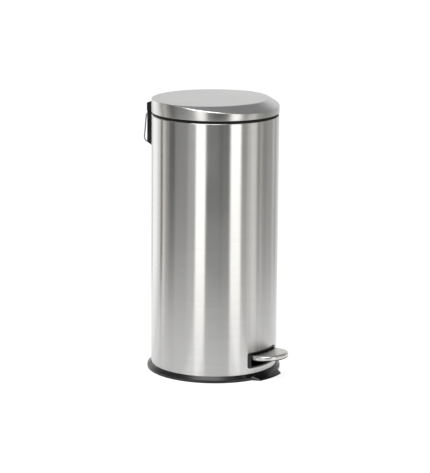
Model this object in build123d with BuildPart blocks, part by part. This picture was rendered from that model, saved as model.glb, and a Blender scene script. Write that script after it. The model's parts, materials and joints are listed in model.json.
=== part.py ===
from build123d import *
import os
from math import atan, cos, radians, sin, tan

# A round pedal bin of about 30 litres. Millimetres, +Z up. The origin is on the tube's axis at
# floor level, the pedal points along -Y and the lid's hinge is at +Y.

# ---------------------------------------------------------------- driving dimensions
# Tube
BODY_RADIUS = 145.0
SHEET = 0.8
BODY_BOTTOM = 5.0
BODY_TOP = 590.0
LIP_RADIUS = 142.0

# Floor ring and plate
RING_RADIUS = 154.0
RING_WALL = 6.0
RING_TOP = 13.2
TOE_RADIUS = 169.0
TOE_TIP_HEIGHT = 2.6
TOE_START = 149.5
TOE_START_HEIGHT = 9.6
TOE_CHAMFER = 1.6
PLATE_RADIUS = 141.5
PLATE_Z = 7.0
PLATE_THICKNESS = 1.0

# Collar and lid
COLLAR_RADIUS = 143.5
COLLAR_TOP = 595.6
LEDGE_TOP = 580.0
LID_RADIUS = 145.35
LID_BOTTOM = 596.4
LID_TOP = 626.5
BEVEL_DROP = 1.7
BEVEL_SLOPE = 0.102
APEX_Y = 93.0
APEX_RISE = 111.0
LINER_WEB = 604.0

# Pedal opening
OPENING_HALF_WIDTH = 44.0
OPENING_BOTTOM = 29.5
OPENING_TOP = 60.0
BEZEL_HALF_WIDTH = 51.5
BEZEL_BOTTOM = 25.8
BEZEL_TOP = 62.4
BEZEL_RADIUS = 147.0

# Pedal and lever
PEDAL_TILT = 4.0
PEDAL_TOP = 57.0
PEDAL_HALF_WIDTH = 46.5
PEDAL_CENTRE_Y = -158.0
PEDAL_LENGTH = 42.0
PEDAL_ROOT_Y = -130.0
PEDAL_ROOT_HALF_WIDTH = 41.4
CAP_HEIGHT = 9.3
CAP_SHEET = 1.0
CAP_ROLL = 4.5
PAD_HEIGHT = 11.7
STRIP = 2.0
STRIP_HALF_WIDTH = 18.0
LEVER_TOP = 38.0
AXLE_Y = -32.0
AXLE_Z = 31.0
AXLE_RADIUS = 3.0

# Push rod
ROD_Y = 139.5
ROD_RADIUS = 2.5
ROD_BOTTOM = 46.0
ROD_TOP = 583.0
FOOT_RADIUS = 4.0
FOOT_GAP = 0.4

# Lid hinge and crank
HINGE_Y = 154.0
HINGE_Z = 602.0
HINGE_PIN_RADIUS = 2.5
KNUCKLE_RADIUS = 4.6
KNUCKLE_OUTER = 34.0
PIN_HALF_LENGTH = 31.8
CRANK = 16.0
CRANK_ANGLE = 37.5
CRANK_PIN_RADIUS = 2.0
CRANK_Y = HINGE_Y - CRANK * cos(radians(CRANK_ANGLE))
CRANK_Z = HINGE_Z - CRANK * sin(radians(CRANK_ANGLE))
FORK_GAP = 0.8
ARM_INNER = 6.0
ARM_OUTER = 9.0
NOTCH_HALF_WIDTH = 11.5

# Hinge housing on the tube, hinge cover on the lid, and carry handle
HOUSING_HALF_WIDTH = 44.0
HOUSING_FACE_Y = 166.3
HOUSING_BOTTOM = 506.0
HOUSING_SHOULDER = 587.2
HOUSING_CEILING = 577.0
HOUSING_WALL = 2.5
HOUSING_SLOPE = 10.0
COVER_HALF_WIDTH = 44.0
COVER_CHEEK = 3.0
COVER_BOTTOM = 587.8
COVER_BACK_BOTTOM = 596.0
COVER_WALL = 2.0
COVER_SLOPE = 0.38
COVER_BACK_TOP = 605.1
COVER_SWEEP = 18.0
COVER_SCREW_Z = 610.1
BAIL_PIVOT_Y = 161.0
BAIL_PIVOT_Z = 582.4
BAIL_HALF_WIDTH = 50.0
BAIL_DROP = 68.5
BAIL_TILT = 6.2
BAIL_RADIUS = 1.5

# Bucket
BUCKET_TOP_RADIUS = 128.5
BUCKET_FOOT_RADIUS = 117.0
BUCKET_BOTTOM = 72.0
BUCKET_WALL = 1.8
BUCKET_RIM_RADIUS = 134.0
BUCKET_BAIL_Z = 589.0

RUNNING_FIT = 0.05
SCREW_HEAD_RADIUS = 3.5
SCREW_SHANK_RADIUS = 1.75
SCREW_HEAD_HEIGHT = 2.4
SCREW_HOLE_RADIUS = 2.0

os.makedirs("parts", exist_ok=True)


def save(builder, name):
    """Label a finished piece and write it."""
    builder.part.label = name
    export_step(builder.part, f"parts/{name}.step")


def outline(points, plane=Plane.XZ):
    """A closed straight-sided face; on Plane.XZ its points are (radius, height)."""
    with BuildSketch(plane) as face:
        with BuildLine():
            Polyline(*points, close=True)
        make_face()
    return face.sketch


def front_window(half_width, bottom, top, corner):
    """A rounded rectangle looking out through the front of the tube."""
    with BuildSketch(Plane.XZ) as window:
        with Locations((0, (bottom + top) / 2)):
            RectangleRounded(2 * half_width, top - bottom, corner)
    return window.sketch


# ---------------------------------------------------------------- tube, collar and floor ring
def outer_body():
    inner = BODY_RADIUS - SHEET
    roll = 1.6
    with BuildPart() as body:
        with BuildSketch(Plane.XZ):
            with BuildLine():
                Polyline((inner, BODY_TOP - roll), (inner, BODY_BOTTOM), (BODY_RADIUS, BODY_BOTTOM),
                         (BODY_RADIUS, BODY_TOP - roll))
                RadiusArc((BODY_RADIUS, BODY_TOP - roll), (BODY_RADIUS - roll, BODY_TOP), -roll)
                Polyline((BODY_RADIUS - roll, BODY_TOP), (LIP_RADIUS, BODY_TOP),
                         (LIP_RADIUS, BODY_TOP - SHEET), (BODY_RADIUS - roll, BODY_TOP - SHEET))
                RadiusArc((BODY_RADIUS - roll, BODY_TOP - SHEET), (inner, BODY_TOP - roll), roll - SHEET)
            make_face()
        revolve(axis=Axis.Z)
        extrude(front_window(OPENING_HALF_WIDTH + 1.8, OPENING_BOTTOM - 1.6, OPENING_TOP + 1.4, 5.0),
                amount=2 * BODY_RADIUS, mode=Mode.SUBTRACT)
        with BuildSketch(Plane.XY.offset(BODY_TOP - 6)):
            with Locations((0, BODY_RADIUS)):
                Rectangle(2 * NOTCH_HALF_WIDTH, 30)
        extrude(amount=10, mode=Mode.SUBTRACT)
        with BuildSketch(Plane.XZ):
            with Locations(*housing_screw_places()):
                Circle(SCREW_HOLE_RADIUS)
        extrude(amount=-2 * BODY_RADIUS, mode=Mode.SUBTRACT)
    save(body, "outer_body")


def top_collar():
    skirt_outer = LIP_RADIUS - 0.2
    skirt_inner = 138.5
    ledge_inner = 129.0
    skirt_bottom = LEDGE_TOP - 8
    with BuildPart() as collar:
        revolve(outline([
            (COLLAR_RADIUS, BODY_TOP), (COLLAR_RADIUS, COLLAR_TOP), (skirt_inner + 1, COLLAR_TOP),
            (skirt_inner, COLLAR_TOP - 1), (skirt_inner, LEDGE_TOP), (ledge_inner, LEDGE_TOP),
            (ledge_inner, LEDGE_TOP - 2.5), (skirt_inner, LEDGE_TOP - 2.5), (skirt_inner, skirt_bottom),
            (skirt_outer, skirt_bottom), (skirt_outer, BODY_TOP),
        ]), axis=Axis.Z)
        with BuildSketch(Plane.XY.offset(skirt_bottom - 1)):
            with Locations((0, BODY_RADIUS - 10)):
                Rectangle(2 * NOTCH_HALF_WIDTH, 30)
        extrude(amount=40, mode=Mode.SUBTRACT)
    save(collar, "top_collar")


def base_ring():
    groove_outer = BODY_RADIUS + 0.3
    groove_inner = BODY_RADIUS - SHEET - 0.2
    with BuildPart() as toe:
        revolve(outline([(TOE_START, 0), (TOE_RADIUS, 0), (TOE_RADIUS, TOE_TIP_HEIGHT),
                         (TOE_START, TOE_START_HEIGHT)]), axis=Axis.Z)
        with BuildSketch(Plane.XY) as plan:
            with BuildLine():
                Polyline((-49, -145), (-37, -TOE_RADIUS - 3), (37, -TOE_RADIUS - 3), (49, -145), close=True)
            make_face()
            Circle(TOE_RADIUS, mode=Mode.INTERSECT)
            fillet(plan.vertices().group_by(Axis.Y)[0], 6)
        extrude(amount=RING_TOP, mode=Mode.INTERSECT)
        sides = toe.faces().filter_by(GeomType.PLANE).filter_by(
            lambda face: abs(face.normal_at().X) > 0.9)
        chamfer([face.edges().filter_by(lambda edge: edge.length > 8).sort_by(Axis.Z)[-1]
                 for face in sides], TOE_CHAMFER)
    with BuildPart() as ring:
        revolve(outline([
            (134, 4.5), (140.5, 4.5), (140.5, 0), (147.5, 0), (147.5, 4), (151, 4), (151, 0),
            (RING_RADIUS, 0), (RING_RADIUS, RING_WALL), (BODY_RADIUS + 1, RING_TOP),
            (groove_outer, RING_TOP - 0.6), (groove_outer, BODY_BOTTOM), (groove_inner, BODY_BOTTOM),
            (groove_inner, 18), (PLATE_RADIUS + 0.3, 18), (PLATE_RADIUS + 0.3, PLATE_Z), (134, PLATE_Z),
        ]), axis=Axis.Z)
        fillet(ring.edges().filter_by(GeomType.CIRCLE).filter_by(
            lambda edge: abs(edge.radius - RING_RADIUS) < 0.01 and edge.center().Z > 1), 1.6)
        add(toe.part)
    save(ring, "base_ring")


def bottom_plate():
    with BuildPart() as plate:
        with BuildSketch(Plane.XY.offset(PLATE_Z)):
            Circle(PLATE_RADIUS)
            with Locations(*bracket_screw_places()):
                Circle(SCREW_HOLE_RADIUS, mode=Mode.SUBTRACT)
        extrude(amount=PLATE_THICKNESS)
    save(plate, "bottom_plate")


def pedal_bezel():
    sleeve_inner = BODY_RADIUS - 5
    with BuildPart() as frame:
        extrude(front_window(BEZEL_HALF_WIDTH, BEZEL_BOTTOM, BEZEL_TOP, 5.5), amount=2 * BODY_RADIUS)
        revolve(outline([(BODY_RADIUS + 0.1, 0), (BEZEL_RADIUS, 0), (BEZEL_RADIUS, 90),
                         (BODY_RADIUS + 0.1, 90)]), axis=Axis.Z, mode=Mode.INTERSECT)
        chamfer(frame.faces().filter_by(GeomType.CYLINDER).sort_by(
            lambda face: face.center().Y)[0].outer_wire().edges(), 0.7)
    with BuildPart() as bezel:
        extrude(front_window(OPENING_HALF_WIDTH + 1.4, OPENING_BOTTOM - 1.2, OPENING_TOP + 1.0, 4.8),
                amount=2 * BODY_RADIUS)
        revolve(outline([(sleeve_inner, 0), (BODY_RADIUS + 0.5, 0), (BODY_RADIUS + 0.5, 90),
                         (sleeve_inner, 90)]), axis=Axis.Z, mode=Mode.INTERSECT)
        add(frame.part)
        extrude(front_window(OPENING_HALF_WIDTH, OPENING_BOTTOM, OPENING_TOP, 4.0),
                amount=2 * BODY_RADIUS, mode=Mode.SUBTRACT)
    save(bezel, "pedal_bezel")


# ---------------------------------------------------------------- pedal and lever
PEDAL_PLANE = Plane(origin=(0, -BODY_RADIUS, PEDAL_TOP), x_dir=(1, 0, 0),
                    z_dir=(0, sin(radians(PEDAL_TILT)), cos(radians(PEDAL_TILT))))


def tongue(inset):
    """The pedal's plan: an ellipse whose sides run straight on into the tube."""
    centre = PEDAL_CENTRE_Y + BODY_RADIUS
    root = PEDAL_ROOT_Y + BODY_RADIUS - inset
    root_x = PEDAL_ROOT_HALF_WIDTH - inset
    tangent_x = 45.68 - inset
    tangent_y = centre + 7.88
    with BuildSketch(PEDAL_PLANE) as plan:
        with Locations((0, centre)):
            Ellipse(PEDAL_HALF_WIDTH - inset, PEDAL_LENGTH - inset)
        with Locations((0, tangent_y)):
            Rectangle(200, 200, align=(Align.CENTER, Align.MAX), mode=Mode.INTERSECT)
        with BuildLine():
            Polyline((-tangent_x, tangent_y), (-root_x, root), (root_x, root), (tangent_x, tangent_y),
                     close=True)
        make_face()
    return plan.sketch


def rolled_tongue(inset, top, bottom, roll):
    """The pedal's plan as a block between two depths, with its top edge rolled over."""
    with BuildPart() as block:
        extrude(tongue(inset), amount=-bottom)
        if top > 0:
            split(bisect_by=PEDAL_PLANE.offset(-top), keep=Keep.BOTTOM)
        rim = block.faces().filter_by(GeomType.PLANE).sort_by(Axis.Z)[-1].edges()
        fillet(rim.filter_by(lambda edge: edge.geom_type != GeomType.LINE), roll)
    return block.part


def lever_strip(clearance):
    """The lever's side view, thickened by a clearance on every side."""
    slope = tan(radians(PEDAL_TILT))
    front_y = -186 - clearance
    bend_y = -133.0
    step_y = -104.0
    end_y = 143.0 + clearance
    front_z = 50 - (front_y + BODY_RADIUS) * slope
    bend_z = 50 - (bend_y + BODY_RADIUS) * slope
    low = STRIP + clearance
    with BuildSketch(Plane.YZ) as side:
        with BuildLine():
            Polyline((front_y, front_z + clearance), (bend_y, bend_z + clearance),
                     (step_y, LEVER_TOP + clearance), (end_y, LEVER_TOP + clearance),
                     (end_y, LEVER_TOP - low), (step_y - 1, LEVER_TOP - low),
                     (bend_y - 1, bend_z - low), (front_y, front_z - low), close=True)
        make_face()
    return side.sketch


def pedal_cap():
    hollow = rolled_tongue(CAP_SHEET, CAP_SHEET, CAP_HEIGHT + 1, CAP_ROLL - CAP_SHEET)
    with BuildPart() as cap:
        add(rolled_tongue(0, 0, CAP_HEIGHT, CAP_ROLL))
        add(hollow, mode=Mode.SUBTRACT)
        with BuildSketch(PEDAL_PLANE.offset(-CAP_SHEET)):
            with Locations((0, PEDAL_ROOT_Y + BODY_RADIUS)):
                Rectangle(2 * PEDAL_ROOT_HALF_WIDTH - 6, 5)
        extrude(amount=-CAP_HEIGHT, mode=Mode.SUBTRACT)
    save(cap, "pedal_cap")


def pedal_pad():
    gap = CAP_SHEET + 0.1
    with BuildPart() as pad:
        add(rolled_tongue(gap, gap, PAD_HEIGHT, CAP_ROLL - gap))
        extrude(lever_strip(0.15), amount=STRIP_HALF_WIDTH + 0.15, both=True, mode=Mode.SUBTRACT)
        with BuildSketch(PEDAL_PLANE.offset(-PAD_HEIGHT)):
            with Locations(*pedal_screw_places()):
                Circle(SCREW_HEAD_RADIUS + 0.3)
        extrude(amount=SCREW_HEAD_HEIGHT + 0.2, mode=Mode.SUBTRACT)
        with BuildSketch(PEDAL_PLANE.offset(-PAD_HEIGHT)):
            with Locations(*pedal_screw_places()):
                Circle(SCREW_HOLE_RADIUS)
        extrude(amount=PAD_HEIGHT - 3, mode=Mode.SUBTRACT)
    save(pad, "pedal_pad")


def pedal_screw_places():
    """Two screws side by side, in the pedal's own plane."""
    return [(-10, -20), (10, -20)]


def pedal_screws():
    with BuildPart() as screws:
        with BuildSketch(PEDAL_PLANE.offset(-PAD_HEIGHT + 0.1)):
            with Locations(*pedal_screw_places()):
                Circle(SCREW_HEAD_RADIUS)
        extrude(amount=SCREW_HEAD_HEIGHT)
        with BuildSketch(PEDAL_PLANE.offset(-PAD_HEIGHT + 0.1)):
            with Locations(*pedal_screw_places()):
                Circle(SCREW_SHANK_RADIUS)
        extrude(amount=PAD_HEIGHT - 4)
    save(screws, "pedal_screws")


def pedal_bumper():
    stud_radius = 3.2
    stud_length = 7.0
    with BuildPart() as bumper:
        with BuildSketch(PEDAL_PLANE.offset(-PAD_HEIGHT)):
            with Locations((0, -22.5)):
                Circle(stud_radius)
        extrude(amount=-stud_length)
        fillet(bumper.faces().sort_by(Axis.Z)[0].edges(), 1.2)
    save(bumper, "pedal_bumper")


def pedal_lever():
    flange_depth = 13.0
    flange_half = 18.0
    narrow = 8.0
    with BuildPart() as lever:
        extrude(lever_strip(0), amount=STRIP_HALF_WIDTH, both=True)
        with BuildSketch(Plane.XY) as plan:
            with BuildLine():
                Polyline((-STRIP_HALF_WIDTH, -200), (-STRIP_HALF_WIDTH, 92), (-narrow, 108), (-narrow, 143),
                         (narrow, 143), (narrow, 108), (STRIP_HALF_WIDTH, 92), (STRIP_HALF_WIDTH, -200),
                         close=True)
            make_face()
            fillet(plan.vertices().group_by(Axis.Y)[-1], 4)
        extrude(amount=80, mode=Mode.INTERSECT)
        with BuildSketch(Plane.YZ) as cheek:
            with BuildLine():
                Polyline((AXLE_Y - flange_half, LEVER_TOP), (AXLE_Y + flange_half, LEVER_TOP),
                         (AXLE_Y + 7, LEVER_TOP - flange_depth), (AXLE_Y - 7, LEVER_TOP - flange_depth),
                         close=True)
            make_face()
            fillet(cheek.vertices().group_by(Axis.Y)[0], 5)
        extrude(amount=STRIP_HALF_WIDTH, both=True)
        with BuildSketch(Plane.YZ):
            with Locations((AXLE_Y, LEVER_TOP - STRIP - flange_depth / 2 - 2)):
                Rectangle(3 * flange_half, flange_depth + 4)
        extrude(amount=STRIP_HALF_WIDTH - STRIP, both=True, mode=Mode.SUBTRACT)
        with BuildSketch(Plane.YZ):
            with Locations((AXLE_Y, AXLE_Z)):
                Circle(AXLE_RADIUS + RUNNING_FIT)
        extrude(amount=40, both=True, mode=Mode.SUBTRACT)
        with BuildSketch(PEDAL_PLANE.offset(-PAD_HEIGHT)):
            with Locations(*pedal_screw_places()):
                Circle(SCREW_HOLE_RADIUS)
        extrude(amount=PAD_HEIGHT, mode=Mode.SUBTRACT)
    save(lever, "pedal_lever")


def lever_axle():
    half_length = 28.0
    with BuildPart() as axle:
        with BuildSketch(Plane.YZ):
            with Locations((AXLE_Y, AXLE_Z)):
                Circle(AXLE_RADIUS)
        extrude(amount=half_length, both=True)
        chamfer(axle.edges().filter_by(GeomType.CIRCLE), 0.6)
    save(axle, "lever_axle")


BRACKET_INNER = 20.0
BRACKET_SHEET = 2.5


def bracket_screw_places():
    """Two screws through the foot of each axle bracket."""
    return [(side * 32, AXLE_Y + step) for side in (-1, 1) for step in (-7, 7)]


def axle_brackets():
    foot_z = PLATE_Z + PLATE_THICKNESS
    with BuildPart() as brackets:
        with BuildSketch(Plane.YZ.offset(BRACKET_INNER)):
            with BuildLine():
                Polyline((AXLE_Y - 12, foot_z), (AXLE_Y + 12, foot_z), (AXLE_Y + 6.5, AXLE_Z),
                         (AXLE_Y - 6.5, AXLE_Z), close=True)
            make_face()
            with Locations((AXLE_Y, AXLE_Z)):
                Circle(6.5)
                Circle(AXLE_RADIUS + RUNNING_FIT, mode=Mode.SUBTRACT)
        extrude(amount=BRACKET_SHEET)
        with BuildSketch(Plane.XY.offset(foot_z)) as foot:
            with Locations((BRACKET_INNER + 10, AXLE_Y)):
                Rectangle(20, 24)
            fillet(foot.vertices().group_by(Axis.X)[-1], 4)
            with Locations(*bracket_screw_places()[2:]):
                Circle(SCREW_HOLE_RADIUS, mode=Mode.SUBTRACT)
        extrude(amount=BRACKET_SHEET)
        mirror(about=Plane.YZ)
    save(brackets, "axle_brackets")


def bracket_screws():
    head_z = PLATE_Z + PLATE_THICKNESS + BRACKET_SHEET
    with BuildPart() as screws:
        with BuildSketch(Plane.XY.offset(head_z)):
            with Locations(*bracket_screw_places()):
                Circle(SCREW_HEAD_RADIUS)
        extrude(amount=SCREW_HEAD_HEIGHT)
        fillet(screws.faces().group_by(Axis.Z)[-1].edges(), 1.0)
        with BuildSketch(Plane.XY.offset(head_z)):
            with Locations(*bracket_screw_places()):
                Circle(SCREW_SHANK_RADIUS)
        extrude(amount=-5.5)
    save(screws, "bracket_screws")


def axle_clips():
    clip_x = BRACKET_INNER + BRACKET_SHEET + 0.3
    with BuildPart() as clips:
        with BuildSketch(Plane.YZ.offset(clip_x)):
            with Locations((AXLE_Y, AXLE_Z)):
                Circle(6)
                Circle(AXLE_RADIUS + RUNNING_FIT, mode=Mode.SUBTRACT)
        extrude(amount=1.5)
        mirror(about=Plane.YZ)
    save(clips, "axle_clips")


# ---------------------------------------------------------------- push rod
def push_rod():
    with BuildPart() as rod:
        with BuildSketch(Plane.XY.offset(ROD_BOTTOM)):
            with Locations((0, ROD_Y)):
                Circle(ROD_RADIUS)
        extrude(amount=ROD_TOP - ROD_BOTTOM)
        chamfer(rod.edges().filter_by(GeomType.CIRCLE), 0.5)
    save(rod, "push_rod")


def rod_foot():
    dome_z = LEVER_TOP + FOOT_GAP + FOOT_RADIUS
    foot_top = ROD_BOTTOM + 12
    with BuildPart() as foot:
        with BuildSketch(Plane.XY.offset(dome_z)):
            with Locations((0, ROD_Y)):
                Circle(FOOT_RADIUS)
        extrude(amount=foot_top - dome_z)
        with Locations((0, ROD_Y, dome_z)):
            Sphere(FOOT_RADIUS)
        with BuildSketch(Plane.XY.offset(ROD_BOTTOM - 0.1)):
            with Locations((0, ROD_Y)):
                Circle(ROD_RADIUS + RUNNING_FIT)
        extrude(amount=20, mode=Mode.SUBTRACT)
    save(foot, "rod_foot")


def rod_fork():
    slot_half = CRANK_PIN_RADIUS + FORK_GAP
    prong = 3.0
    inner_y = 133.5
    outer_y = 143.4
    slot_inner_y = 135.2
    half_width = 4.5
    stem_bottom = ROD_TOP - 12
    with BuildPart() as fork:
        with BuildSketch(Plane.YZ) as side:
            with Locations(((inner_y + outer_y) / 2, CRANK_Z)):
                Rectangle(outer_y - inner_y, 2 * (slot_half + prong))
            fillet(side.vertices(), 1.2)
            with Locations((slot_inner_y, CRANK_Z)):
                Rectangle(20, 2 * slot_half, align=(Align.MIN, Align.CENTER), mode=Mode.SUBTRACT)
        extrude(amount=half_width, both=True)
        with BuildSketch(Plane.XY.offset(stem_bottom)):
            with Locations((0, ROD_Y)):
                Circle(FOOT_RADIUS)
        extrude(amount=CRANK_Z - slot_half - stem_bottom)
        with BuildSketch(Plane.XY.offset(stem_bottom)):
            with Locations((0, ROD_Y)):
                Circle(ROD_RADIUS + RUNNING_FIT)
        extrude(amount=ROD_TOP + 0.1 - stem_bottom, mode=Mode.SUBTRACT)
    save(fork, "rod_fork")


def rod_guides():
    guide_height = 12.0
    with BuildPart() as guides:
        for guide_z in (190.0, 430.0):
            with BuildSketch(Plane.XY.offset(guide_z)):
                Circle(BODY_RADIUS - SHEET - 0.1)
                with Locations((0, 134)):
                    Rectangle(24, 30, align=(Align.CENTER, Align.MIN), mode=Mode.INTERSECT)
                with Locations((0, ROD_Y)):
                    Circle(ROD_RADIUS + RUNNING_FIT, mode=Mode.SUBTRACT)
            extrude(amount=guide_height)
    save(guides, "rod_guides")


# ---------------------------------------------------------------- hinge on the back
def housing_screw_places():
    """Four screws from inside the tube into the housing, as (x, z)."""
    return [(side * 28, height) for side in (-1, 1) for height in (544, 564)]


def knuckles():
    """Two pin knuckles, one each side of the hinge arm, on webs that rise from the housing."""
    inner_x = ARM_OUTER + 1.5
    web_front_y = 146.0
    web_back_y = 149.5
    with BuildPart() as pair:
        with BuildSketch(Plane.YZ.offset(inner_x)):
            with Locations((HINGE_Y, HINGE_Z)):
                Circle(KNUCKLE_RADIUS)
            with Locations((web_front_y, HINGE_Z)):
                Rectangle(web_back_y - web_front_y, HINGE_Z - HOUSING_CEILING, align=(Align.MIN, Align.MAX))
        extrude(amount=KNUCKLE_OUTER - inner_x)
        mirror(about=Plane.YZ)
    return pair.part


def hinge_housing():
    front_y = 130.0
    boss_radius = 5.0
    inner_y = HOUSING_FACE_Y - HOUSING_WALL
    with BuildPart() as housing:
        with BuildSketch(Plane.YZ):
            with BuildLine():
                Polyline((front_y, HOUSING_BOTTOM - 5), (BODY_RADIUS, HOUSING_BOTTOM),
                         (HOUSING_FACE_Y, HOUSING_BOTTOM + HOUSING_SLOPE),
                         (HOUSING_FACE_Y, HOUSING_SHOULDER), (front_y, HOUSING_SHOULDER), close=True)
            make_face()
        extrude(amount=HOUSING_HALF_WIDTH, both=True)
        fillet(housing.edges().filter_by(Axis.Z).group_by(Axis.Y)[-1], 5)
        for side in (-1, 1):
            with BuildSketch(Plane.YZ.offset(side * (COVER_HALF_WIDTH - COVER_CHEEK - 0.6))):
                with Locations((HINGE_Y, HINGE_Z)):
                    Circle(COVER_SWEEP)
            extrude(amount=side * 10, mode=Mode.SUBTRACT)
        add(knuckles())
        with BuildSketch(Plane.YZ):
            with BuildLine():
                Polyline((front_y - 10, HOUSING_BOTTOM + 4), (BODY_RADIUS, HOUSING_BOTTOM + 4),
                         (inner_y, HOUSING_BOTTOM + HOUSING_SLOPE + 4), (inner_y, HOUSING_CEILING),
                         (front_y - 10, HOUSING_CEILING), close=True)
            make_face()
        extrude(amount=HOUSING_HALF_WIDTH - HOUSING_WALL, both=True, mode=Mode.SUBTRACT)
        with BuildSketch(Plane.XZ.offset(-inner_y)):
            with Locations(*housing_screw_places()):
                Circle(boss_radius)
        extrude(amount=40)
        with BuildSketch(Plane.XY.offset(HOUSING_BOTTOM - 10)):
            Circle(BODY_RADIUS + 0.15)
        extrude(amount=120, mode=Mode.SUBTRACT)
        with BuildSketch(Plane.XZ.offset(1 - inner_y)):
            with Locations(*housing_screw_places()):
                Circle(SCREW_SHANK_RADIUS + RUNNING_FIT)
        extrude(amount=60, mode=Mode.SUBTRACT)
        with BuildSketch(Plane.YZ):
            with Locations((HINGE_Y, HINGE_Z)):
                Circle(HINGE_PIN_RADIUS + RUNNING_FIT)
        extrude(amount=PIN_HALF_LENGTH + 0.2, both=True, mode=Mode.SUBTRACT)
        with BuildSketch(Plane.YZ):
            with Locations((BAIL_PIVOT_Y, BAIL_PIVOT_Z)):
                Circle(BAIL_RADIUS + RUNNING_FIT)
        extrude(amount=HOUSING_HALF_WIDTH + 1, both=True, mode=Mode.SUBTRACT)
    save(housing, "hinge_housing")


def hinge_backing_plate():
    outer = BODY_RADIUS - SHEET - 0.1
    bottom = 534.0
    top = 571.0
    with BuildPart() as plate:
        revolve(outline([(outer - 1.5, bottom), (outer, bottom), (outer, top), (outer - 1.5, top)]),
                axis=Axis.Z)
        with BuildSketch(Plane.XZ.offset(-BODY_RADIUS)):
            with Locations((0, (bottom + top) / 2)):
                RectangleRounded(76, top - bottom - 3, 5)
            with Locations(*housing_screw_places()):
                Circle(SCREW_HOLE_RADIUS, mode=Mode.SUBTRACT)
        extrude(amount=40, mode=Mode.INTERSECT)
    save(plate, "hinge_backing_plate")


def housing_screws():
    head_y = 138.8
    tip_y = HOUSING_FACE_Y - HOUSING_WALL - 2
    with BuildPart() as screws:
        with BuildSketch(Plane.XZ.offset(-head_y)):
            with Locations(*housing_screw_places()):
                Circle(SCREW_HEAD_RADIUS)
        extrude(amount=SCREW_HEAD_HEIGHT)
        with BuildSketch(Plane.XZ.offset(-head_y)):
            with Locations(*housing_screw_places()):
                Circle(SCREW_SHANK_RADIUS)
        extrude(amount=head_y - tip_y)
    save(screws, "housing_screws")


def hinge_pin():
    with BuildPart() as pin:
        with BuildSketch(Plane.YZ):
            with Locations((HINGE_Y, HINGE_Z)):
                Circle(HINGE_PIN_RADIUS)
        extrude(amount=PIN_HALF_LENGTH, both=True)
        chamfer(pin.edges().filter_by(GeomType.CIRCLE), 0.5)
    save(pin, "hinge_pin")


# ---------------------------------------------------------------- lid
def lid_form(inset, bottom):
    """The lid's outer form: a cylinder whose front is cut by a sloping plane and a leaning cone."""
    radius = LID_RADIUS - inset
    top = LID_TOP - inset
    tilt = atan(BEVEL_SLOPE)
    cut = Plane(origin=(0, 0, LID_TOP - BEVEL_DROP - inset), x_dir=(1, 0, 0),
                z_dir=(0, -sin(tilt), cos(tilt)))
    apex = cut.to_local_coords(Vector(0, APEX_Y, LID_TOP + APEX_RISE - inset))
    height = 40.0
    share = height / apex.Z
    with BuildPart() as crown:
        with BuildSketch(cut):
            Ellipse(radius, radius / cos(tilt))
        with BuildSketch(cut.offset(height)):
            with Locations((0, apex.Y * share)):
                Ellipse(radius * (1 - share), radius / cos(tilt) * (1 - share))
        loft()
        split(bisect_by=Plane.XY.offset(top), keep=Keep.BOTTOM)
    with BuildPart() as form:
        with BuildSketch(Plane.XY.offset(bottom)):
            Circle(radius)
        extrude(amount=top - bottom)
        split(bisect_by=cut, keep=Keep.BOTTOM)
        add(crown.part)
    return form.part


def lid_notch(inner_y):
    """The slot at the back of the lid that the hinge arm passes through."""
    with BuildSketch(Plane.XY.offset(LID_BOTTOM - 1)) as slot:
        with Locations((0, inner_y)):
            Rectangle(2 * (ARM_OUTER + 1.5), 40, align=(Align.CENTER, Align.MIN))
    return slot.sketch


def lid_shell():
    flange_inner = 143.2
    with BuildPart() as shell:
        add(lid_form(0, LID_BOTTOM))
        add(lid_form(SHEET, LID_BOTTOM + SHEET), mode=Mode.SUBTRACT)
        with BuildSketch(Plane.XY.offset(LID_BOTTOM)):
            Circle(flange_inner)
        extrude(amount=SHEET, mode=Mode.SUBTRACT)
        extrude(lid_notch(135), amount=HINGE_Z + 8 - LID_BOTTOM, mode=Mode.SUBTRACT)
        with BuildSketch(Plane.XZ.offset(-130)):
            with Locations(*cover_screw_places()):
                Circle(SCREW_HOLE_RADIUS)
        extrude(amount=-20, mode=Mode.SUBTRACT)
    save(shell, "lid_shell")


def cover_screw_places():
    """Two screws from inside the lid's wall into the hinge cover, as (x, z)."""
    return [(-38, COVER_SCREW_Z), (38, COVER_SCREW_Z)]


def cover_side(wall, bottom):
    """The hinge cover's side view, drawn in by a wall's thickness."""
    front_y = 130.0
    back_y = HOUSING_FACE_Y - wall
    top = COVER_BACK_TOP - wall
    with BuildSketch(Plane.YZ) as side:
        with BuildLine():
            Polyline((front_y, LID_BOTTOM + 2.6), (146.5, LID_BOTTOM + 2.6), (151, bottom),
                     (back_y, bottom), (back_y, top),
                     (front_y, top + (HOUSING_FACE_Y - front_y) * COVER_SLOPE), close=True)
        make_face()
    return side.sketch


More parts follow.
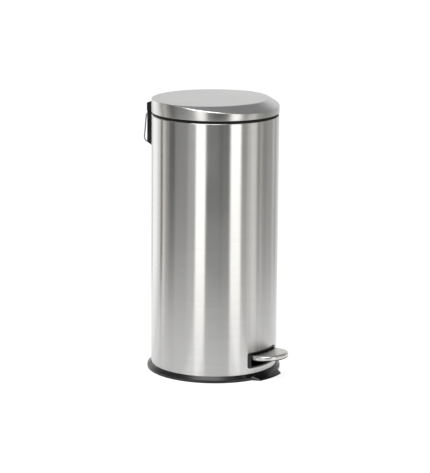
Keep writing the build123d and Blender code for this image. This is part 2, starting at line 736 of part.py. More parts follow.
def lid_hinge_cover():
    boss_radius = 3.2
    boss_tip_y = 149.0
    inner_x = COVER_HALF_WIDTH - COVER_CHEEK
    with BuildPart() as cover:
        extrude(cover_side(0, COVER_BOTTOM), amount=COVER_HALF_WIDTH, both=True)
        fillet(cover.faces().sort_by(Axis.Y)[-1].edges(), 3)
        extrude(cover_side(COVER_WALL, COVER_BOTTOM - 5), amount=inner_x, both=True, mode=Mode.SUBTRACT)
        with BuildSketch(Plane.XY.offset(COVER_BOTTOM - 1)):
            with Locations((0, HINGE_Y)):
                Rectangle(2 * inner_x, 70)
        extrude(amount=COVER_BACK_BOTTOM - COVER_BOTTOM + 1, mode=Mode.SUBTRACT)
        with BuildSketch(Plane.XY.offset(COVER_BOTTOM - 1)):
            with Locations((0, 120)):
                Rectangle(2 * inner_x, 31, align=(Align.CENTER, Align.MIN))
        extrude(amount=LID_BOTTOM + 8 - COVER_BOTTOM, mode=Mode.SUBTRACT)
        with BuildSketch(Plane.XZ.offset(-boss_tip_y)):
            with Locations(*cover_screw_places()):
                Circle(boss_radius)
        extrude(amount=20)
        extrude(cover_side(0, COVER_BOTTOM), amount=COVER_HALF_WIDTH, both=True, mode=Mode.INTERSECT)
        with BuildSketch(Plane.XY.offset(COVER_BOTTOM - 5)):
            Circle(LID_RADIUS + 0.1)
        extrude(amount=60, mode=Mode.SUBTRACT)
        with BuildSketch(Plane.XZ.offset(1 - boss_tip_y)):
            with Locations(*cover_screw_places()):
                Circle(SCREW_SHANK_RADIUS + RUNNING_FIT)
        extrude(amount=20, mode=Mode.SUBTRACT)
    save(cover, "lid_hinge_cover")


def cover_screws():
    head_y = 138.2
    tip_y = 147.5
    with BuildPart() as screws:
        with BuildSketch(Plane.XZ.offset(-head_y)):
            with Locations(*cover_screw_places()):
                Circle(SCREW_HEAD_RADIUS)
        extrude(amount=SCREW_HEAD_HEIGHT)
        with BuildSketch(Plane.XZ.offset(-head_y)):
            with Locations(*cover_screw_places()):
                Circle(SCREW_SHANK_RADIUS)
        extrude(amount=head_y - tip_y)
    save(screws, "cover_screws")


def lid_liner():
    outer = LID_RADIUS - SHEET - 0.3
    skirt_inner = 138.0
    skirt_bottom = LID_BOTTOM + SHEET + 0.1
    with BuildPart() as liner:
        revolve(outline([(0, LINER_WEB), (skirt_inner, LINER_WEB), (skirt_inner, skirt_bottom),
                         (outer, skirt_bottom), (outer, LINER_WEB + 2.5), (0, LINER_WEB + 2.5)]),
                axis=Axis.Z)
        extrude(lid_notch(128), amount=20, mode=Mode.SUBTRACT)
        with BuildSketch(Plane.XY.offset(LINER_WEB)):
            with Locations(*lid_screw_places()):
                Circle(SCREW_SHANK_RADIUS + RUNNING_FIT)
        extrude(amount=2, mode=Mode.SUBTRACT)
    save(liner, "lid_liner")


def lid_screw_places():
    """Four screws through the arm's plate."""
    return [(side * 14, along) for side in (-1, 1) for along in (92, 120)]


def lid_hinge_arm():
    plate = 3.0
    front_y = 84.0
    rear_y = 130.0
    with BuildPart() as arm:
        with BuildSketch(Plane.XY.offset(LINER_WEB - plate)) as foot:
            with Locations((0, (front_y + rear_y) / 2)):
                RectangleRounded(40, rear_y - front_y, 4)
            with Locations(*lid_screw_places()):
                Circle(SCREW_HOLE_RADIUS, mode=Mode.SUBTRACT)
        extrude(amount=plate)
        with BuildSketch(Plane.YZ) as cheek:
            with BuildLine():
                Polyline((front_y + 6, LINER_WEB), (136, LINER_WEB), (HINGE_Y, HINGE_Z + KNUCKLE_RADIUS),
                         (HINGE_Y, HINGE_Z - KNUCKLE_RADIUS), (136, LINER_WEB - 6),
                         (front_y + 6, LINER_WEB - 4), close=True)
            make_face()
            with BuildLine():
                Polyline((HINGE_Y + 3, HINGE_Z - 4), (CRANK_Y + 2.6, CRANK_Z - 3.5),
                         (CRANK_Y - 2.6, CRANK_Z + 3.5), (HINGE_Y - 4, HINGE_Z + 3), close=True)
            make_face()
            with Locations((HINGE_Y, HINGE_Z)):
                Circle(KNUCKLE_RADIUS)
            with Locations((CRANK_Y, CRANK_Z)):
                Circle(4.2)
                Circle(CRANK_PIN_RADIUS + RUNNING_FIT, mode=Mode.SUBTRACT)
            with Locations((HINGE_Y, HINGE_Z)):
                Circle(HINGE_PIN_RADIUS + RUNNING_FIT, mode=Mode.SUBTRACT)
        extrude(cheek.sketch, amount=ARM_OUTER, both=True)
        with BuildSketch(Plane.XY.offset(570)):
            with Locations((0, rear_y)):
                Rectangle(2 * ARM_INNER, 60, align=(Align.CENTER, Align.MIN))
            with Locations((0, front_y)):
                Rectangle(2 * ARM_INNER, 60, align=(Align.CENTER, Align.MIN))
        extrude(amount=LINER_WEB - plate - 570, mode=Mode.SUBTRACT)
        with BuildSketch(Plane.XY.offset(570)):
            with Locations((0, rear_y)):
                Rectangle(2 * ARM_INNER, 60, align=(Align.CENTER, Align.MIN))
        extrude(amount=60, mode=Mode.SUBTRACT)
    save(arm, "lid_hinge_arm")


def crank_pin():
    with BuildPart() as pin:
        with BuildSketch(Plane.YZ):
            with Locations((CRANK_Y, CRANK_Z)):
                Circle(CRANK_PIN_RADIUS)
        extrude(amount=ARM_OUTER, both=True)
    save(pin, "crank_pin")


def lid_screws():
    head_z = LINER_WEB - 3
    with BuildPart() as screws:
        with BuildSketch(Plane.XY.offset(head_z)):
            with Locations(*lid_screw_places()):
                Circle(SCREW_HEAD_RADIUS)
        extrude(amount=-SCREW_HEAD_HEIGHT)
        fillet(screws.faces().group_by(Axis.Z)[0].edges(), 1.0)
        with BuildSketch(Plane.XY.offset(head_z)):
            with Locations(*lid_screw_places()):
                Circle(SCREW_SHANK_RADIUS)
        extrude(amount=4.8)
    save(screws, "lid_screws")


def lid_bumpers():
    button_top = LID_BOTTOM + SHEET + 0.1
    with BuildPart() as bumpers:
        with BuildSketch(Plane.XY.offset(button_top)):
            with PolarLocations(140.4, 4, start_angle=45):
                Circle(2.2)
        extrude(amount=COLLAR_TOP + 0.3 - button_top)
        fillet(bumpers.faces().group_by(Axis.Z)[0].edges(), 0.5)
    save(bumpers, "lid_bumpers")


# ---------------------------------------------------------------- bucket
def inner_bucket():
    rim_bottom = LEDGE_TOP
    rim_top = LEDGE_TOP + 3
    inner_top = BUCKET_TOP_RADIUS - BUCKET_WALL
    with BuildPart() as bucket:
        revolve(outline([
            (0, BUCKET_BOTTOM), (BUCKET_FOOT_RADIUS, BUCKET_BOTTOM), (BUCKET_TOP_RADIUS, rim_bottom),
            (BUCKET_RIM_RADIUS, rim_bottom), (BUCKET_RIM_RADIUS, rim_top), (inner_top, rim_top),
            (BUCKET_FOOT_RADIUS - BUCKET_WALL, BUCKET_BOTTOM + 2.5), (0, BUCKET_BOTTOM + 2.5),
        ]), axis=Axis.Z)
        with BuildSketch(Plane.YZ.offset(inner_top + 0.4)) as ear:
            with Locations((0, rim_top)):
                Rectangle(14, BUCKET_BAIL_Z - rim_top, align=(Align.CENTER, Align.MIN))
            with Locations((0, BUCKET_BAIL_Z)):
                Circle(4.5)
                Circle(2.1, mode=Mode.SUBTRACT)
        extrude(amount=2.6)
        mirror(about=Plane.YZ)
    save(bucket, "inner_bucket")


def bucket_handle():
    reach = 134.0
    corner = 4.0
    wire = 2.0
    inner_x = 124.0
    with BuildPart() as bail:
        with BuildLine(Plane.XY.offset(BUCKET_BAIL_Z)) as path:
            Line((-inner_x, 0), (corner - reach, 0))
            RadiusArc((corner - reach, 0), (-reach, -corner), -corner)
            ThreePointArc((-reach, -corner), (0, -corner - reach + 3), (reach, -corner))
            RadiusArc((reach, -corner), (reach - corner, 0), -corner)
            Line((reach - corner, 0), (inner_x, 0))
        with BuildSketch(Plane(origin=(-inner_x, 0, BUCKET_BAIL_Z), z_dir=(-1, 0, 0))):
            Circle(wire)
        sweep(path=path.wire())
    save(bail, "bucket_handle")


def carry_handle():
    tilt = radians(BAIL_TILT)
    hang = Plane(origin=(0, BAIL_PIVOT_Y, BAIL_PIVOT_Z), x_dir=(1, 0, 0),
                 z_dir=(0, -cos(tilt), -sin(tilt)))
    inner_x = HOUSING_HALF_WIDTH - 6
    elbow = 5.0
    corner = 16.0
    side = BAIL_HALF_WIDTH
    with BuildPart() as bail:
        with BuildLine(hang) as path:
            Line((-inner_x, 0), (elbow - side, 0))
            RadiusArc((elbow - side, 0), (-side, -elbow), -elbow)
            Line((-side, -elbow), (-side, corner - BAIL_DROP))
            RadiusArc((-side, corner - BAIL_DROP), (corner - side, -BAIL_DROP), -corner)
            Line((corner - side, -BAIL_DROP), (side - corner, -BAIL_DROP))
            RadiusArc((side - corner, -BAIL_DROP), (side, corner - BAIL_DROP), -corner)
            Line((side, corner - BAIL_DROP), (side, -elbow))
            RadiusArc((side, -elbow), (side - elbow, 0), -elbow)
            Line((side - elbow, 0), (inner_x, 0))
        with BuildSketch(Plane(origin=(-inner_x, BAIL_PIVOT_Y, BAIL_PIVOT_Z), z_dir=(-1, 0, 0))):
            Circle(BAIL_RADIUS)
        sweep(path=path.wire())
    save(bail, "carry_handle")


MAKERS = [
    outer_body, top_collar, base_ring, bottom_plate, pedal_bezel, pedal_cap, pedal_pad, pedal_screws,
    pedal_bumper, pedal_lever, lever_axle, axle_brackets, bracket_screws, axle_clips, push_rod, rod_foot,
    rod_fork, rod_guides, hinge_housing, hinge_backing_plate, housing_screws, hinge_pin, lid_shell,
    lid_hinge_cover, cover_screws, lid_liner, lid_hinge_arm, crank_pin, lid_screws, lid_bumpers,
    inner_bucket, bucket_handle, carry_handle,
]

for maker in MAKERS:
    maker()
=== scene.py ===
import json
import math

import bmesh
import bpy
from mathutils import Matrix, Vector


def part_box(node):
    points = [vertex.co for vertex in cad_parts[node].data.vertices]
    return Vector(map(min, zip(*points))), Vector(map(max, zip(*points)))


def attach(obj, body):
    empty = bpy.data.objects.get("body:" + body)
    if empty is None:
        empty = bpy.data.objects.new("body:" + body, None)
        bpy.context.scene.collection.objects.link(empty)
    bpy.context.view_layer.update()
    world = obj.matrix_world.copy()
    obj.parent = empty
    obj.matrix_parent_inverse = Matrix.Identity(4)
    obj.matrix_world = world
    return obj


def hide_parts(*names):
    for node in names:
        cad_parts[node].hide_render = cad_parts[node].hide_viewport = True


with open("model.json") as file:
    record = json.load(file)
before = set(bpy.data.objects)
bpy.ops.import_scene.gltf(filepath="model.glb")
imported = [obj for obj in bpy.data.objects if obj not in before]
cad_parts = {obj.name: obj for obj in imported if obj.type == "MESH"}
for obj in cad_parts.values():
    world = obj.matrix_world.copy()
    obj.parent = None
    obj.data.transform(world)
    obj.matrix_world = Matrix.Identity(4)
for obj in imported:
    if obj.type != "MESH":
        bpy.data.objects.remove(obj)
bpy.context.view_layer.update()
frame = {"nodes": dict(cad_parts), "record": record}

# ---------------------------------------------------------------- sizes, from the frame
LID_LOW, LID_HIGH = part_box("lid_shell")
LID_RADIUS = (LID_HIGH[0] - LID_LOW[0]) / 2
LID_BOTTOM = LID_LOW[2]
LID_TOP = LID_HIGH[2]
MM = 0.001

# ---------------------------------------------------------------- camera
VIEW_AZIMUTH = math.radians(-53.0)
VIEW_ELEVATION = math.radians(12.19)
VIEW_ROLL = math.radians(0.465)
VIEW_DISTANCE = 4.797
VIEW_LENS = 158.9
SENSOR_WIDTH = 36.0
AIM_HEIGHT = 0.306
AIM_SIDE = 0.0011


def make_camera():
    """A long lens a little above the lid's height, turned so that the pedal points right."""
    level = Vector((math.sin(VIEW_AZIMUTH), -math.cos(VIEW_AZIMUTH), 0.0))
    right = Vector((math.cos(VIEW_AZIMUTH), math.sin(VIEW_AZIMUTH), 0.0))
    back = level * math.cos(VIEW_ELEVATION) + Vector((0, 0, math.sin(VIEW_ELEVATION)))
    up = back.cross(right)
    side = right * math.cos(VIEW_ROLL) + up * math.sin(VIEW_ROLL)
    top = up * math.cos(VIEW_ROLL) - right * math.sin(VIEW_ROLL)
    place = Vector((0, 0, AIM_HEIGHT)) + right * AIM_SIDE + back * VIEW_DISTANCE
    data = bpy.data.cameras.new("camera")
    data.lens = VIEW_LENS
    data.sensor_width = SENSOR_WIDTH
    data.clip_end = 100.0
    camera = bpy.data.objects.new("camera", data)
    bpy.context.scene.collection.objects.link(camera)
    turn = Matrix((side, top, back)).transposed().to_4x4()
    camera.matrix_world = Matrix.Translation(place) @ turn
    bpy.context.scene.camera = camera


# ---------------------------------------------------------------- studio
# Upright panels round the object, in degrees from the camera's side, growing towards the right:
# (start, brightness, warmth). Each runs on to the next one's start.
STUDIO_PANELS = [
    (-180, 0.82, 0.0), (-152, 1.30, 0.0), (-128, 0.90, 0.0), (-117, 0.12, 0.12), (-110, 0.86, 0.06),
    (-102, 0.34, 0.0), (-92, 0.13, 0.0), (-78, 0.30, 0.0), (-52, 0.44, 0.0), (-40, 0.36, 0.0),
    (-36, 1.75, 0.0), (-17.5, 0.04, 0.0), (14, 0.12, 0.0), (24, 0.25, 0.0), (27.5, 1.80, 0.0),
    (46.5, 0.38, 0.0), (60, 0.62, 0.0), (67, 0.88, 0.05), (81, 0.32, 0.05), (88, 0.50, 0.0),
    (95, 0.32, 0.0), (107, 0.41, 0.0), (126, 0.66, 0.0), (136, 0.48, 0.0), (146, 0.72, 0.0),
    (156, 0.85, 0.0),
]
BRIGHTEST = 2.0
CEILING_START = 0.32
CEILING_FULL = 0.58
CEILING_COLOR = (0.28, 0.28, 0.275, 1)
BACKDROP_STRENGTH = 1.05
WHITE = (1, 1, 1, 1)


def math_node(tree, operation, first, second=None):
    """A Math node fed by sockets or plain numbers; returns its output."""
    node = tree.nodes.new("ShaderNodeMath")
    node.operation = operation
    for slot, value in enumerate((first, second)):
        if value is None:
            continue
        if isinstance(value, (int, float)):
            node.inputs[slot].default_value = value
        else:
            tree.links.new(value, node.inputs[slot])
    return node.outputs[0]


def panel_light(tree, x, y):
    """The panels' brightness in the level direction (x, y)."""
    turn = math_node(tree, "ARCTAN2", x, math_node(tree, "MULTIPLY", y, -1.0))
    turn = math_node(tree, "SUBTRACT", turn, VIEW_AZIMUTH)
    turn = math_node(tree, "ADD", math_node(tree, "DIVIDE", turn, 2 * math.pi), 1.5)
    turn = math_node(tree, "FRACT", turn)
    ramp = tree.nodes.new("ShaderNodeValToRGB")
    tree.links.new(turn, ramp.inputs[0])
    ramp.color_ramp.interpolation = "CONSTANT"
    stops = ramp.color_ramp.elements
    while len(stops) < len(STUDIO_PANELS):
        stops.new(0.5)
    for stop, (start, level, warmth) in zip(stops, STUDIO_PANELS):
        share = level / BRIGHTEST
        stop.position = (start + 180) / 360
        stop.color = (share, share * (1 - warmth / 2), share * (0.985 - warmth), 1)
    return ramp.outputs["Color"]


def make_world():
    """Panels and ceiling for every reflection, plain white for what the camera sees itself."""
    world = bpy.data.worlds.new("studio")
    bpy.context.scene.world = world
    world.use_nodes = True
    tree = world.node_tree
    tree.nodes.clear()
    coords = tree.nodes.new("ShaderNodeTexCoord")
    parts = tree.nodes.new("ShaderNodeSeparateXYZ")
    tree.links.new(coords.outputs["Generated"], parts.inputs[0])
    panels = tree.nodes.new("ShaderNodeVectorMath")
    panels.operation = "SCALE"
    tree.links.new(panel_light(tree, parts.outputs["X"], parts.outputs["Y"]), panels.inputs[0])
    panels.inputs["Scale"].default_value = BRIGHTEST
    # The panels reach up to a darker ceiling.
    height = tree.nodes.new("ShaderNodeMapRange")
    height.interpolation_type = "SMOOTHSTEP"
    tree.links.new(parts.outputs["Z"], height.inputs["Value"])
    height.inputs["From Min"].default_value = CEILING_START
    height.inputs["From Max"].default_value = CEILING_FULL
    ceiling = tree.nodes.new("ShaderNodeMix")
    ceiling.data_type = "RGBA"
    tree.links.new(height.outputs["Result"], ceiling.inputs["Factor"])
    tree.links.new(panels.outputs[0], ceiling.inputs["A"])
    ceiling.inputs["B"].default_value = CEILING_COLOR
    light = tree.nodes.new("ShaderNodeBackground")
    tree.links.new(ceiling.outputs["Result"], light.inputs["Color"])
    white = tree.nodes.new("ShaderNodeBackground")
    white.inputs["Color"].default_value = WHITE
    white.inputs["Strength"].default_value = BACKDROP_STRENGTH
    path = tree.nodes.new("ShaderNodeLightPath")
    mix = tree.nodes.new("ShaderNodeMixShader")
    tree.links.new(path.outputs["Is Camera Ray"], mix.inputs["Fac"])
    tree.links.new(light.outputs[0], mix.inputs[1])
    tree.links.new(white.outputs[0], mix.inputs[2])
    out = tree.nodes.new("ShaderNodeOutputWorld")
    tree.links.new(mix.outputs[0], out.inputs["Surface"])


FLOOR_RADIUS = 0.95
FLOOR_SEGMENTS = 128
FLOOR_DROP = 0.0002
FLOOR_COLOR = (0.35, 0.35, 0.35, 1)
FLOOR_EMISSION = 0.86
# How bright the floor is where the steel reflects it: a plain glow, and the panels' own reflection in it.
FLOOR_GLOW = 0.85
FLOOR_SHEEN = 0.32


def make_floor():
    """A pale round floor; past its edge the studio's white takes over."""
    shape = bmesh.new()
    bmesh.ops.create_circle(shape, cap_ends=True, segments=FLOOR_SEGMENTS, radius=FLOOR_RADIUS)
    data = bpy.data.meshes.new("floor")
    shape.to_mesh(data)
    shape.free()
    floor = bpy.data.objects.new("floor", data)
    floor.location.z = -FLOOR_DROP
    bpy.context.scene.collection.objects.link(floor)
    material = bpy.data.materials.new("floor")
    material.use_nodes = True
    shader = material.node_tree.nodes["Principled BSDF"]
    shader.inputs["Base Color"].default_value = FLOOR_COLOR
    shader.inputs["Roughness"].default_value = 0.8
    shader.inputs["Specular IOR Level"].default_value = 0.1
    shader.inputs["Emission Color"].default_value = WHITE
    shader.inputs["Emission Strength"].default_value = FLOOR_EMISSION
    tree = material.node_tree
    # A brighter stand-in, seen only in reflections.
    seen_in_steel = tree.nodes.new("ShaderNodeEmission")
    coords = tree.nodes.new("ShaderNodeTexCoord")
    parts = tree.nodes.new("ShaderNodeSeparateXYZ")
    tree.links.new(coords.outputs["Object"], parts.inputs[0])
    sheen = tree.nodes.new("ShaderNodeVectorMath")
    sheen.operation = "MULTIPLY_ADD"
    tree.links.new(panel_light(tree, parts.outputs["X"], parts.outputs["Y"]), sheen.inputs[0])
    sheen.inputs[1].default_value = (FLOOR_SHEEN, FLOOR_SHEEN, FLOOR_SHEEN)
    sheen.inputs[2].default_value = (FLOOR_GLOW, FLOOR_GLOW, FLOOR_GLOW * 1.02)
    tree.links.new(sheen.outputs[0], seen_in_steel.inputs["Color"])
    path = tree.nodes.new("ShaderNodeLightPath")
    mix = tree.nodes.new("ShaderNodeMixShader")
    tree.links.new(path.outputs["Is Glossy Ray"], mix.inputs["Fac"])
    tree.links.new(shader.outputs[0], mix.inputs[1])
    tree.links.new(seen_in_steel.outputs[0], mix.inputs[2])
    tree.links.new(mix.outputs[0], tree.nodes["Material Output"].inputs["Surface"])
    data.materials.append(material)


def make_lamp(name, azimuth, elevation, distance, width, height, power):
    """A soft rectangular lamp aimed at the middle of the can."""
    data = bpy.data.lights.new(name, "AREA")
    data.shape = "RECTANGLE"
    data.size = width
    data.size_y = height
    data.energy = power
    lamp = bpy.data.objects.new(name, data)
    turn = VIEW_AZIMUTH + math.radians(azimuth)
    lift = math.radians(elevation)
    away = Vector((math.sin(turn) * math.cos(lift), -math.cos(turn) * math.cos(lift), math.sin(lift)))
    lamp.location = Vector((0, 0, AIM_HEIGHT)) + away * distance
    lamp.rotation_euler = away.to_track_quat("Z", "Y").to_euler()
    bpy.context.scene.collection.objects.link(lamp)


# ---------------------------------------------------------------- materials
# Noise seldom leaves this range, so it is what gets stretched over colours and roughness.
NOISE_LOW = 0.3
NOISE_HIGH = 0.7
STEEL_WANDER = 0.02
LAY_TURN = 0.25
SEAM_SPECULAR = 0.2


def new_material(name, color, metallic, roughness):
    """A Principled material; returns it with its node tree and its shader."""
    material = bpy.data.materials.new(name)
    material.use_nodes = True
    shader = material.node_tree.nodes["Principled BSDF"]
    shader.inputs["Base Color"].default_value = (*color, 1)
    shader.inputs["Metallic"].default_value = metallic
    shader.inputs["Roughness"].default_value = roughness
    return material, material.node_tree, shader


def grain(tree, scale, stretch, detail=3.0):
    """Noise in object space, stretched along the given axes."""
    coords = tree.nodes.new("ShaderNodeTexCoord")
    mapping = tree.nodes.new("ShaderNodeMapping")
    mapping.inputs["Scale"].default_value = stretch
    tree.links.new(coords.outputs["Object"], mapping.inputs["Vector"])
    noise = tree.nodes.new("ShaderNodeTexNoise")
    noise.inputs["Scale"].default_value = scale
    noise.inputs["Detail"].default_value = detail
    tree.links.new(mapping.outputs["Vector"], noise.inputs["Vector"])
    return noise.outputs["Fac"]


def spread(tree, value, low, high):
    """A noise value stretched over a range."""
    node = tree.nodes.new("ShaderNodeMapRange")
    tree.links.new(value, node.inputs["Value"])
    node.inputs["From Min"].default_value = NOISE_LOW
    node.inputs["From Max"].default_value = NOISE_HIGH
    node.inputs["To Min"].default_value = low
    node.inputs["To Max"].default_value = high
    return node.outputs["Result"]


def tint(tree, value, dark, light):
    """A colour between two shades, by a noise value."""
    ramp = tree.nodes.new("ShaderNodeValToRGB")
    ramp.color_ramp.elements[0].position = NOISE_LOW
    ramp.color_ramp.elements[0].color = (*dark, 1)
    ramp.color_ramp.elements[1].position = NOISE_HIGH
    ramp.color_ramp.elements[1].color = (*light, 1)
    tree.links.new(value, ramp.inputs[0])
    return ramp.outputs["Color"]


def bump(tree, shader, value, strength, distance):
    """Raise the surface by a noise value."""
    node = tree.nodes.new("ShaderNodeBump")
    node.inputs["Strength"].default_value = strength
    node.inputs["Distance"].default_value = distance
    tree.links.new(value, node.inputs["Height"])
    tree.links.new(node.outputs["Normal"], shader.inputs["Normal"])


def brushed_round(name, low, high, roughness, aniso):
    """Steel brushed round the can: fine level lines that smear reflections up and down."""
    material, tree, shader = new_material(name, high, 1.0, roughness)
    lines = grain(tree, 1.0, (6.0, 6.0, 2600.0), 2.0)
    broad = grain(tree, 9.0, (1.0, 1.0, 0.6), 2.0)
    tree.links.new(tint(tree, lines, low, high), shader.inputs["Base Color"])
    rough = spread(tree, broad, roughness - STEEL_WANDER, roughness + STEEL_WANDER)
    tree.links.new(rough, shader.inputs["Roughness"])
    shader.inputs["Anisotropic"].default_value = aniso
    shader.inputs["Anisotropic Rotation"].default_value = LAY_TURN
    tangent = tree.nodes.new("ShaderNodeTangent")
    tangent.direction_type = "RADIAL"
    tangent.axis = "Z"
    tree.links.new(tangent.outputs[0], shader.inputs["Tangent"])
    bump(tree, shader, lines, 0.04, 0.00002)
    return material


def satin_plastic(name, color, roughness, scale=900.0, depth=0.25):
    """Moulded plastic with a fine spark-eroded texture."""
    material, tree, shader = new_material(name, color, 0.0, roughness)
    fine = grain(tree, scale, (1, 1, 1), 2.0)
    broad = grain(tree, 14.0, (1, 1, 1), 3.0)
    lighter = tuple(channel * 1.5 + 0.004 for channel in color)
    tree.links.new(tint(tree, broad, color, lighter), shader.inputs["Base Color"])
    tree.links.new(spread(tree, broad, roughness - 0.05, roughness + 0.07), shader.inputs["Roughness"])
    bump(tree, shader, fine, depth, 0.00006)
    return material


def brushed_flat(name, low, high, roughness):
    """Steel brushed straight across, seen on the lid's top."""
    material, tree, shader = new_material(name, high, 1.0, roughness)
    lines = grain(tree, 1.0, (60.0, 3600.0, 60.0), 1.0)
    broad = grain(tree, 7.0, (1.0, 1.0, 1.0), 2.0)
    tree.links.new(tint(tree, lines, low, high), shader.inputs["Base Color"])
    rough = spread(tree, broad, roughness - STEEL_WANDER, roughness + STEEL_WANDER)
    tree.links.new(rough, shader.inputs["Roughness"])
    bump(tree, shader, lines, 0.01, 0.00001)
    return material


def plated(name, low, high, roughness, stretch, scale=400.0):
    """Zinc or nickel plate with a faint drawn grain."""
    material, tree, shader = new_material(name, high, 1.0, roughness)
    lines = grain(tree, scale, stretch, 3.0)
    tree.links.new(tint(tree, lines, low, high), shader.inputs["Base Color"])
    tree.links.new(spread(tree, lines, roughness - 0.05, roughness + 0.06), shader.inputs["Roughness"])
    bump(tree, shader, lines, 0.08, 0.00003)
    return material


def dress(node, material):
    """Give a CAD node a finished material."""
    for slot in frame["nodes"][node].material_slots:
        slot.material = material


# ---------------------------------------------------------------- lid
LID_SHEET = 0.8 * MM
LID_UNDERSIDE = 1.3 * MM
LID_UNDERSIDE_INSET = 1.2 * MM
BEVEL_DROP = 1.7 * MM
BEVEL_SLOPE = 0.102
APEX_Y = 93 * MM
APEX_RISE = 111 * MM
RIM_ROLL = 1.8 * MM
CREASE_BLEND = 0.5 * MM
FLANGE = 2.15 * MM
# The bottom edge's rounding, as (in from the wall, up from the bottom).
BOTTOM_ROUNDING = ((0.0, 0.5 * MM), (0.15 * MM, 0.12 * MM), (0.5 * MM, 0.0))
NOTCH_HALF = 10.5 * MM
NOTCH_TOP = 610 * MM
NOTCH_FRONT = 135 * MM
NOTCH_BACK = 160 * MM
NOTCH_BELOW = 10 * MM
LID_TURNS = 360
LID_RINGS = 110
UNDERSIDE_STRIDE = 8
CRISP_ANGLE = 35
ROLL_STEPS = 8
TINY = 1e-12
LEAST_REACH = 1e-6


def lid_height(x, y):
    """The crown's height: a flat top that meets, in front, a cone leaning back from the wall."""
    depth = y - APEX_Y
    across = x * x + depth * depth
    root = APEX_Y**2 * depth**2 - across * (APEX_Y**2 - LID_RADIUS**2)
    reach = (-APEX_Y * depth + math.sqrt(max(root, 0.0))) / max(across, TINY)
    apex = LID_TOP + APEX_RISE
    wall = LID_TOP - BEVEL_DROP + BEVEL_SLOPE * (depth * reach + APEX_Y)
    cone = apex + (wall - apex) / max(reach, LEAST_REACH)
    gap = cone - LID_TOP
    return LID_TOP + 0.5 * (gap - math.sqrt(gap * gap + CREASE_BLEND**2))


def lid_column(turn):
    """Points from the middle of the top, over the rim and down, then back up inside, at one turn."""
    out_x = math.sin(turn)
    out_y = -math.cos(turn)
    inner = LID_RADIUS - LID_SHEET
    flange = LID_RADIUS - FLANGE
    column = []
    start = LID_RADIUS - RIM_ROLL
    for step in range(LID_RINGS):
        radius = start * (step + 1) / LID_RINGS
        column.append((radius, lid_height(radius * out_x, radius * out_y)))
    edge = lid_height(start * out_x, start * out_y)
    rim = lid_height(LID_RADIUS * out_x, LID_RADIUS * out_y)
    slope = (rim - edge) / RIM_ROLL
    for step in range(1, ROLL_STEPS + 1):
        bend = math.pi / 2 * step / ROLL_STEPS
        reach = RIM_ROLL * math.sin(bend)
        column.append((start + reach, edge + slope * reach - RIM_ROLL * (1 - math.cos(bend))))
    for inset, lift in BOTTOM_ROUNDING:
        column.append((LID_RADIUS - inset, LID_BOTTOM + lift))
    column.append((flange, LID_BOTTOM))
    column.append((flange, LID_BOTTOM + LID_SHEET))
    column.append((inner, LID_BOTTOM + LID_SHEET))
    for step in range(LID_RINGS, 0, -UNDERSIDE_STRIDE):
        radius = (inner - LID_UNDERSIDE_INSET) * step / LID_RINGS
        column.append((radius, lid_height(radius * out_x, radius * out_y) - LID_UNDERSIDE))
    return [(radius * out_x, radius * out_y, height) for radius, height in column]


def apply_modifiers(piece):
    """Bake a piece's modifiers into its mesh."""
    graph = bpy.context.evaluated_depsgraph_get()
    data = bpy.data.meshes.new_from_object(piece.evaluated_get(graph))
    piece.modifiers.clear()
    old = piece.data
    piece.data = data
    bpy.data.meshes.remove(old)


def cut_with_box(piece, low, high):
    """Cut a box-shaped notch out of a closed piece."""
    shape = bmesh.new()
    bmesh.ops.create_cube(shape, size=1.0)
    for vertex in shape.verts:
        for axis in range(3):
            vertex.co[axis] = low[axis] if vertex.co[axis] < 0 else high[axis]
    data = bpy.data.meshes.new("notch")
    shape.to_mesh(data)
    shape.free()
    cutter = bpy.data.objects.new("notch", data)
    bpy.context.scene.collection.objects.link(cutter)
    cut = piece.modifiers.new("cut", "BOOLEAN")
    cut.object = cutter
    cut.solver = "EXACT"
    apply_modifiers(piece)
    bpy.data.objects.remove(cutter, do_unlink=True)


def smooth(piece, angle):
    """Smooth shading with crisp edges above an angle, in degrees."""
    for face in piece.data.polygons:
        face.use_smooth = True
    piece.data.set_sharp_from_angle(angle=math.radians(angle))


def make_lid(top_material, wall_material):
    """The pressed steel lid, with a rolled rim and a soft crease round the bevel."""
    columns = [lid_column(2 * math.pi * turn / LID_TURNS) for turn in range(LID_TURNS)]
    count = len(columns[0])
    shape = bmesh.new()
    rows = [[shape.verts.new(point) for point in column] for column in columns]
    top_middle = shape.verts.new((0, 0, lid_height(0, 0)))
    under_middle = shape.verts.new((0, 0, lid_height(0, 0) - LID_UNDERSIDE))
    wall_start = LID_RINGS + ROLL_STEPS // 2
    for turn in range(LID_TURNS):
        here = rows[turn]
        there = rows[(turn + 1) % LID_TURNS]
        shape.faces.new((top_middle, here[0], there[0]))
        shape.faces.new((under_middle, there[-1], here[-1]))
        for step in range(count - 1):
            face = shape.faces.new((here[step], here[step + 1], there[step + 1], there[step]))
            face.material_index = 1 if step >= wall_start else 0
    bmesh.ops.recalc_face_normals(shape, faces=shape.faces[:])
    data = bpy.data.meshes.new("lid_skin")
    shape.to_mesh(data)
    shape.free()
    data.materials.append(top_material)
    data.materials.append(wall_material)
    lid = bpy.data.objects.new("lid_skin", data)
    bpy.context.scene.collection.objects.link(lid)
    notch_low = (-NOTCH_HALF, NOTCH_FRONT, LID_BOTTOM - NOTCH_BELOW)
    cut_with_box(lid, notch_low, (NOTCH_HALF, NOTCH_BACK, NOTCH_TOP))
    smooth(lid, CRISP_ANGLE)
    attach(lid, "lid")
    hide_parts("lid_shell")


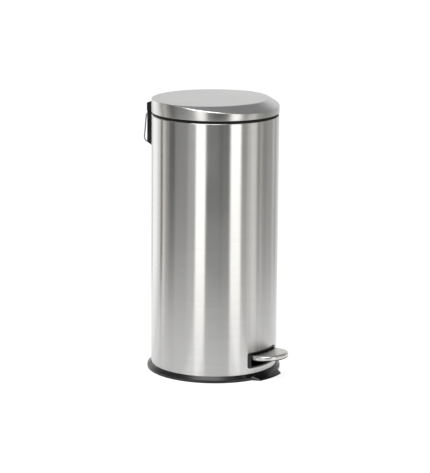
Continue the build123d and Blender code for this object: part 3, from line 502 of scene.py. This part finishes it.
# ---------------------------------------------------------------- build
make_camera()
make_world()
make_floor()
make_lamp("overhead", azimuth=-20, elevation=62, distance=2.2, width=1.6, height=1.6, power=30)

steel = brushed_round("brushed_steel_tube", (0.62, 0.615, 0.60), (0.69, 0.685, 0.67), 0.24, 1.0)
lid_wall = brushed_round("brushed_steel_lid_wall", (0.58, 0.575, 0.56), (0.66, 0.655, 0.64), 0.31, 0.75)
lid_top = brushed_flat("brushed_steel_lid_top", (0.615, 0.62, 0.625), (0.645, 0.65, 0.655), 0.26)
pedal_steel = plated(
    "brushed_steel_pedal", (0.62, 0.615, 0.60), (0.72, 0.715, 0.70), 0.25, (60.0, 1.0, 1.0), 30.0
)
black = satin_plastic("black_plastic", (0.006, 0.006, 0.0065), 0.33)
ring_black = satin_plastic("ring_plastic", (0.005, 0.005, 0.0055), 0.24)
# The collar is black plastic, and its colour is set darker than the other black plastics. This is painted
# shade for the seam under the lid. It also reflects less.
collar_black_painted_shade = satin_plastic("collar_plastic_painted_seam_shade", (0.004, 0.004, 0.004), 0.55)
seam_shader = collar_black_painted_shade.node_tree.nodes["Principled BSDF"]
seam_shader.inputs["Specular IOR Level"].default_value = SEAM_SPECULAR
inner_black = satin_plastic("inner_plastic", (0.020, 0.020, 0.021), 0.50)
bucket_grey = satin_plastic("bucket_plastic", (0.035, 0.035, 0.038), 0.45)
rubber = satin_plastic("rubber", (0.015, 0.015, 0.015), 0.65, 1400.0, 0.35)
zinc = plated("zinc_plate", (0.50, 0.50, 0.47), (0.66, 0.66, 0.63), 0.32, (1.0, 1.0, 1.0))
wire = plated("plated_wire", (0.34, 0.335, 0.33), (0.50, 0.495, 0.49), 0.20, (1.0, 1.0, 1.0), 250.0)

FINISHES = {
    "brushed_body": steel, "brushed_trim": pedal_steel, "black_plastic": black, "inner_plastic": inner_black,
    "plated_steel": zinc, "wire_steel": wire, "bucket_plastic": bucket_grey, "rubber": rubber,
}
for part in frame["record"]["subparts"]:
    dress(part["node"], FINISHES[part["material_slot"]])
dress("top_collar", collar_black_painted_shade)
dress("base_ring", ring_black)
make_lid(lid_top, lid_wall)

bpy.context.scene.view_settings.view_transform = "Standard"
